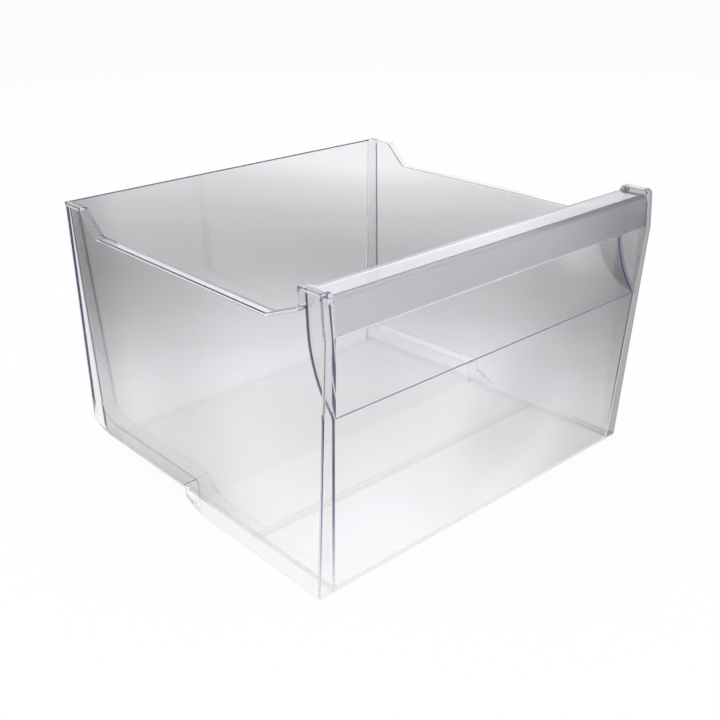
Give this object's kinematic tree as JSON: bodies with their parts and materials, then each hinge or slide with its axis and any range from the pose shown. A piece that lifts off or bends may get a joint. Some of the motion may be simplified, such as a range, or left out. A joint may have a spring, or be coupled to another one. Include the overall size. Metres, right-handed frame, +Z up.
{
  "type": "freezer drawer",
  "caption": "Clear moulded freezer drawer: open tub with drafted sides, side flanges with runner rails, and a full-width grip with a curved finger recess at the front.",
  "frame": {"origin": "under the middle of the drawer, on the surface that it stands on", "axes": "+Z up, the front with the grip faces -Y, +X to the right seen from the front"},
  "size_m": [0.4, 0.382, 0.2635],
  "materials": {
    "clear_polystyrene": "clear glossy moulding with a faint blue-grey tint, satin on the front of the grip's lip"
  },
  "bodies": {
    "root": {"drawer_moulding": "clear_polystyrene"}
  },
  "joints": []
}
